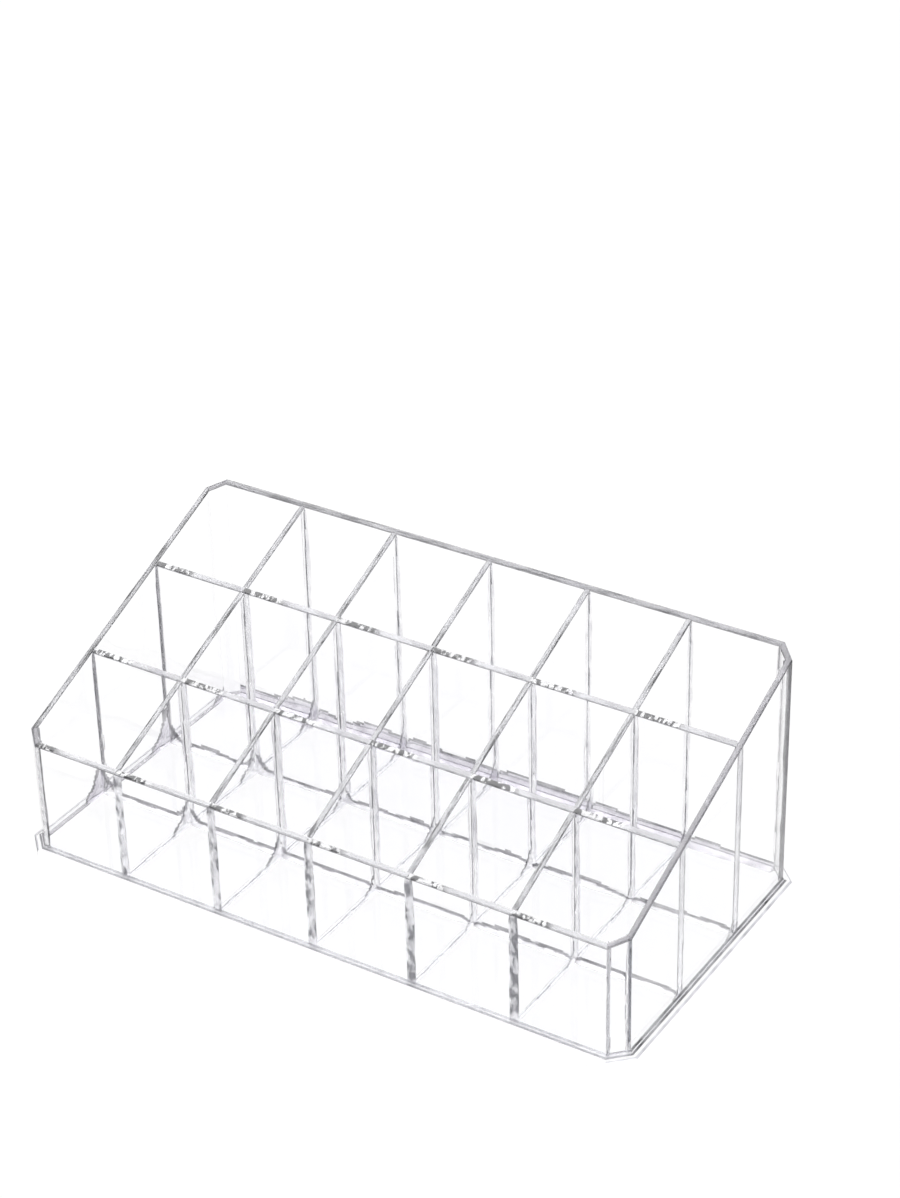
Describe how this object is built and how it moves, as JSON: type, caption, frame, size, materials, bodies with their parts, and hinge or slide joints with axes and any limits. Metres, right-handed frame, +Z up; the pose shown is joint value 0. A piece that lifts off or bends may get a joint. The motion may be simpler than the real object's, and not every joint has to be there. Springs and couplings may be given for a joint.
{
  "type": "vanity organizer",
  "caption": "Clear acrylic organizer with a sloping rim: walls with cut corners on a base plate, and crossed dividers that make open cells for lipsticks and small cosmetics.",
  "frame": {"origin": "middle of the underside of the base plate", "axes": "+X along the length to the right as seen from the front, +Y from the low front wall to the tall back wall, +Z up"},
  "size_m": [0.2304, 0.118, 0.0895],
  "materials": {
    "acrylic_base": "clear cast sheet, polished edges",
    "acrylic_wall": "clear cast sheet, sawn and scraped edges",
    "acrylic_divider": "clear cast sheet, sawn and scraped edges"
  },
  "bodies": {
    "root": {"base_plate": "acrylic_base", "front_wall": "acrylic_wall", "back_wall": "acrylic_wall", "left_wall": "acrylic_wall", "right_wall": "acrylic_wall", "corner_front_left": "acrylic_wall", "corner_front_right": "acrylic_wall", "corner_back_left": "acrylic_wall", "corner_back_right": "acrylic_wall", "divider_1": "acrylic_divider", "divider_2": "acrylic_divider", "divider_3": "acrylic_divider", "divider_4": "acrylic_divider", "divider_5": "acrylic_divider", "cross_divider_1": "acrylic_divider", "cross_divider_2": "acrylic_divider"}
  },
  "joints": []
}
